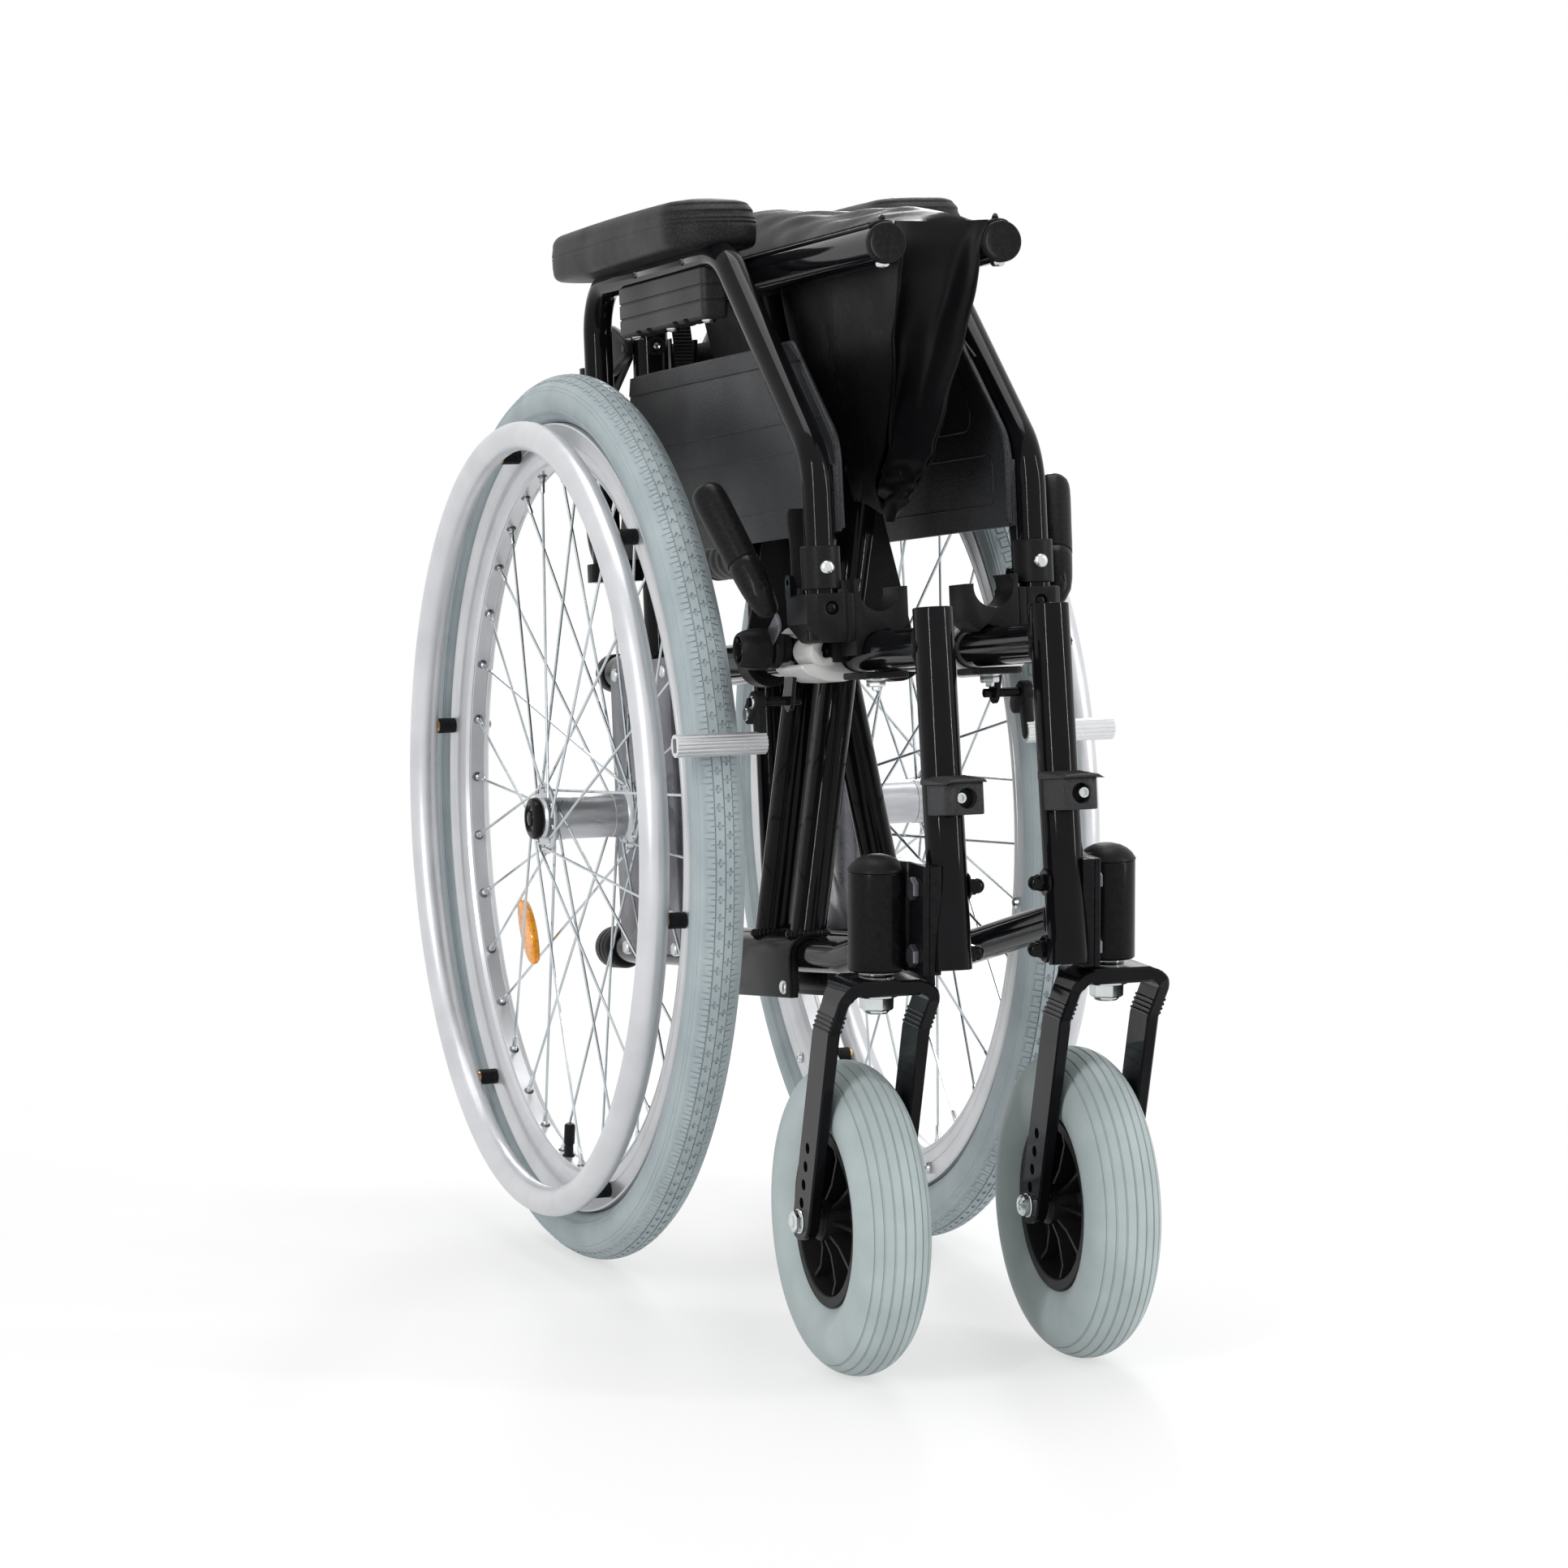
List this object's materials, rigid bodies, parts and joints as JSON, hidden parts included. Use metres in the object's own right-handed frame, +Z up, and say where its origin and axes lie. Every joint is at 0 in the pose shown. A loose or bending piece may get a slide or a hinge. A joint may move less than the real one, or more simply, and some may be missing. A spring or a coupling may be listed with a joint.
{
  "type": "wheelchair",
  "caption": "Folding self-propelled wheelchair, shown folded flat, with spoked rear wheels, handrims, swivelling casters, lift-out padded armrests, brakes and a folding back.",
  "frame": {"origin": "On the floor, midway along the folded chair's length and on its middle plane", "axes": "+Z up; +Y from front to back, along the longest side; +X to the user's left, across the folded chair, its shortest side"},
  "size_m": [0.3222, 0.8398, 0.741],
  "materials": {
    "gloss_paint": "gloss black paint",
    "charcoal_plastic": "fine-grained charcoal black",
    "grey_tyre": "matte blue-grey rubber",
    "satin_alloy": "satin anodised silver",
    "cast_alloy": "matte casting",
    "seat_fabric": "satin black nylon",
    "soft_pad": "pebbled black foam skin"
  },
  "bodies": {
    "right_frame": {"right_side_frame": "gloss_paint", "right_front_tube": "gloss_paint", "right_axle_plate": "charcoal_plastic", "right_axle_pin": "charcoal_plastic", "right_front_latch": "charcoal_plastic", "right_rail_cradle": "charcoal_plastic", "right_arm_socket": "charcoal_plastic", "right_brake_clamp": "cast_alloy", "right_back_cane": "gloss_paint", "right_caster_housing": "gloss_paint"},
    "left_frame": {"left_side_frame": "gloss_paint", "left_front_tube": "gloss_paint", "left_axle_plate": "charcoal_plastic", "left_axle_pin": "charcoal_plastic", "left_front_latch": "charcoal_plastic", "left_rail_cradle": "charcoal_plastic", "left_arm_socket": "charcoal_plastic", "left_brake_clamp": "cast_alloy", "left_back_cane": "gloss_paint", "left_caster_housing": "gloss_paint"},
    "back_upholstery": {"back_cloth": "seat_fabric"},
    "double_brace_unit": {"double_brace": "gloss_paint", "left_seat_cloth": "seat_fabric"},
    "single_brace_unit": {"single_brace": "gloss_paint", "right_seat_cloth": "seat_fabric"},
    "right_stay": {"right_link": "gloss_paint"},
    "right_wheel": {"right_wheel_tyre": "grey_tyre", "right_wheel_rim": "satin_alloy", "right_wheel_hub": "satin_alloy", "right_handrim": "satin_alloy"},
    "right_fork": {"right_caster_fork": "gloss_paint"},
    "right_caster": {"right_caster_tyre": "grey_tyre", "right_caster_hub": "charcoal_plastic"},
    "right_armrest": {"right_arm_tube": "gloss_paint", "right_arm_pad": "soft_pad", "right_arm_panel": "charcoal_plastic"},
    "right_arm_catch": {"right_arm_release": "charcoal_plastic"},
    "right_brake_handle": {"right_brake_lever": "charcoal_plastic"},
    "right_brake_bar": {"right_brake_shoe": "satin_alloy"},
    "right_upper_back": {"right_upper_cane": "gloss_paint", "right_push_grip": "soft_pad"},
    "right_back_catch": {"right_fold_lever": "charcoal_plastic"},
    "left_stay": {"left_link": "gloss_paint"},
    "left_wheel": {"left_wheel_tyre": "grey_tyre", "left_wheel_rim": "satin_alloy", "left_wheel_hub": "satin_alloy", "left_handrim": "satin_alloy"},
    "left_fork": {"left_caster_fork": "gloss_paint"},
    "left_caster": {"left_caster_tyre": "grey_tyre", "left_caster_hub": "charcoal_plastic"},
    "left_armrest": {"left_arm_tube": "gloss_paint", "left_arm_pad": "soft_pad", "left_arm_panel": "charcoal_plastic"},
    "left_arm_catch": {"left_arm_release": "charcoal_plastic"},
    "left_brake_handle": {"left_brake_lever": "charcoal_plastic"},
    "left_brake_bar": {"left_brake_shoe": "satin_alloy"},
    "left_upper_back": {"left_upper_cane": "gloss_paint", "left_push_grip": "soft_pad"},
    "left_back_catch": {"left_fold_lever": "charcoal_plastic"}
  },
  "joints": [
    {"name": "fold", "type": "hinge", "parent": "right_frame", "child": "double_brace_unit", "pos_m": [-0.039, -0.09372, 0.23426], "axis": [0, 0.9923, -0.1236], "range_deg": [0, 49.4]},
    {"name": "brace_cross", "type": "hinge", "parent": "double_brace_unit", "child": "single_brace_unit", "pos_m": [0, -0.06571, 0.45912], "axis": [0, 0.9923, -0.1236], "range_deg": [-98.8, 0]},
    {"name": "left_frame_hinge", "type": "hinge", "parent": "single_brace_unit", "child": "left_frame", "pos_m": [0.039, -0.09372, 0.23426], "axis": [0, 0.9923, -0.1236], "range_deg": [0, 49.4]},
    {"name": "right_stay_hinge", "type": "hinge", "parent": "right_frame", "child": "right_stay", "pos_m": [-0.039, -0.05198, 0.42778], "axis": [0, 0.9923, -0.1236], "range_deg": [0, 94.5]},
    {"name": "left_stay_hinge", "type": "hinge", "parent": "left_frame", "child": "left_stay", "pos_m": [0.039, -0.08671, 0.43211], "axis": [0, 0.9923, -0.1236], "range_deg": [-94.5, 0]},
    {"name": "back_unfold", "type": "slide", "parent": "right_frame", "child": "back_upholstery", "axis": [1, 0, 0], "range_m": [0, 0.317]},
    {"name": "right_wheel_spin", "type": "hinge", "parent": "right_frame", "child": "right_wheel", "pos_m": [-0.1166, 0.11392, 0.306], "axis": [1, 0, 0], "continuous": true},
    {"name": "right_caster_swivel", "type": "hinge", "parent": "right_frame", "child": "right_fork", "pos_m": [-0.0776, -0.36408, 0.262], "axis": [0, 0, 1], "range_deg": [-20, 200]},
    {"name": "right_caster_spin", "type": "hinge", "parent": "right_fork", "child": "right_caster", "pos_m": [-0.0776, -0.31708, 0.1], "axis": [1, 0, 0], "continuous": true},
    {"name": "right_armrest_lift", "type": "slide", "parent": "right_frame", "child": "right_armrest", "axis": [0, 0.1236, 0.9923], "range_m": [0, 0.03]},
    {"name": "right_arm_catch_press", "type": "hinge", "parent": "right_frame", "child": "right_arm_catch", "pos_m": [-0.073, -0.22789, 0.49605], "axis": [-1, 0, 0], "range_deg": [0, 8], "stiffness_Nm_per_rad": 0.3, "springref_deg": -5.73},
    {"name": "right_brake_turn", "type": "hinge", "parent": "right_frame", "child": "right_brake_handle", "pos_m": [-0.109, -0.19277, 0.45036], "axis": [1, 0, 0], "range_deg": [0, 60]},
    {"name": "right_brake_bar_turn", "type": "hinge", "parent": "right_frame", "child": "right_brake_bar", "pos_m": [-0.089, -0.18705, 0.41538], "axis": [1, 0, 0], "range_deg": [0, 7.5]},
    {"name": "right_back_raise", "type": "hinge", "parent": "right_frame", "child": "right_upper_back", "pos_m": [-0.0385, 0.25653, 0.62718], "axis": [1, 0, 0], "range_deg": [0, 180]},
    {"name": "right_back_catch_lift", "type": "hinge", "parent": "right_frame", "child": "right_back_catch", "pos_m": [-0.0385, 0.19576, 0.62467], "axis": [1, 0, 0], "range_deg": [0, 15], "stiffness_Nm_per_rad": 0.4, "springref_deg": -5.73},
    {"name": "left_wheel_spin", "type": "hinge", "parent": "left_frame", "child": "left_wheel", "pos_m": [0.1166, 0.11392, 0.306], "axis": [1, 0, 0], "continuous": true},
    {"name": "left_caster_swivel", "type": "hinge", "parent": "left_frame", "child": "left_fork", "pos_m": [0.0776, -0.36408, 0.262], "axis": [0, 0, -1], "range_deg": [-20, 200]},
    {"name": "left_caster_spin", "type": "hinge", "parent": "left_fork", "child": "left_caster", "pos_m": [0.0776, -0.31708, 0.1], "axis": [1, 0, 0], "continuous": true},
    {"name": "left_armrest_lift", "type": "slide", "parent": "left_frame", "child": "left_armrest", "axis": [0, 0.1236, 0.9923], "range_m": [0, 0.03]},
    {"name": "left_arm_catch_press", "type": "hinge", "parent": "left_frame", "child": "left_arm_catch", "pos_m": [0.073, -0.22789, 0.49605], "axis": [-1, 0, 0], "range_deg": [0, 8], "stiffness_Nm_per_rad": 0.3, "springref_deg": -5.73},
    {"name": "left_brake_turn", "type": "hinge", "parent": "left_frame", "child": "left_brake_handle", "pos_m": [0.109, -0.19277, 0.45036], "axis": [1, 0, 0], "range_deg": [0, 60]},
    {"name": "left_brake_bar_turn", "type": "hinge", "parent": "left_frame", "child": "left_brake_bar", "pos_m": [0.089, -0.18705, 0.41538], "axis": [1, 0, 0], "range_deg": [0, 7.5]},
    {"name": "left_back_raise", "type": "hinge", "parent": "left_frame", "child": "left_upper_back", "pos_m": [0.0385, 0.25653, 0.62718], "axis": [1, 0, 0], "range_deg": [0, 180]},
    {"name": "left_back_catch_lift", "type": "hinge", "parent": "left_frame", "child": "left_back_catch", "pos_m": [0.0385, 0.19576, 0.62467], "axis": [1, 0, 0], "range_deg": [0, 15], "stiffness_Nm_per_rad": 0.4, "springref_deg": -5.73}
  ],
  "couplings": [
    {"joint": "brace_cross", "follows": "fold", "ratio": -2},
    {"joint": "left_frame_hinge", "follows": "fold", "ratio": 1},
    {"joint": "right_stay_hinge", "follows": "fold", "ratio": 1.911},
    {"joint": "left_stay_hinge", "follows": "fold", "ratio": -1.911},
    {"joint": "back_unfold", "follows": "fold", "m_per_rad": 0.36751},
    {"joint": "right_brake_bar_turn", "follows": "right_brake_turn", "ratio": 0.125},
    {"joint": "left_brake_bar_turn", "follows": "left_brake_turn", "ratio": 0.125}
  ]
}
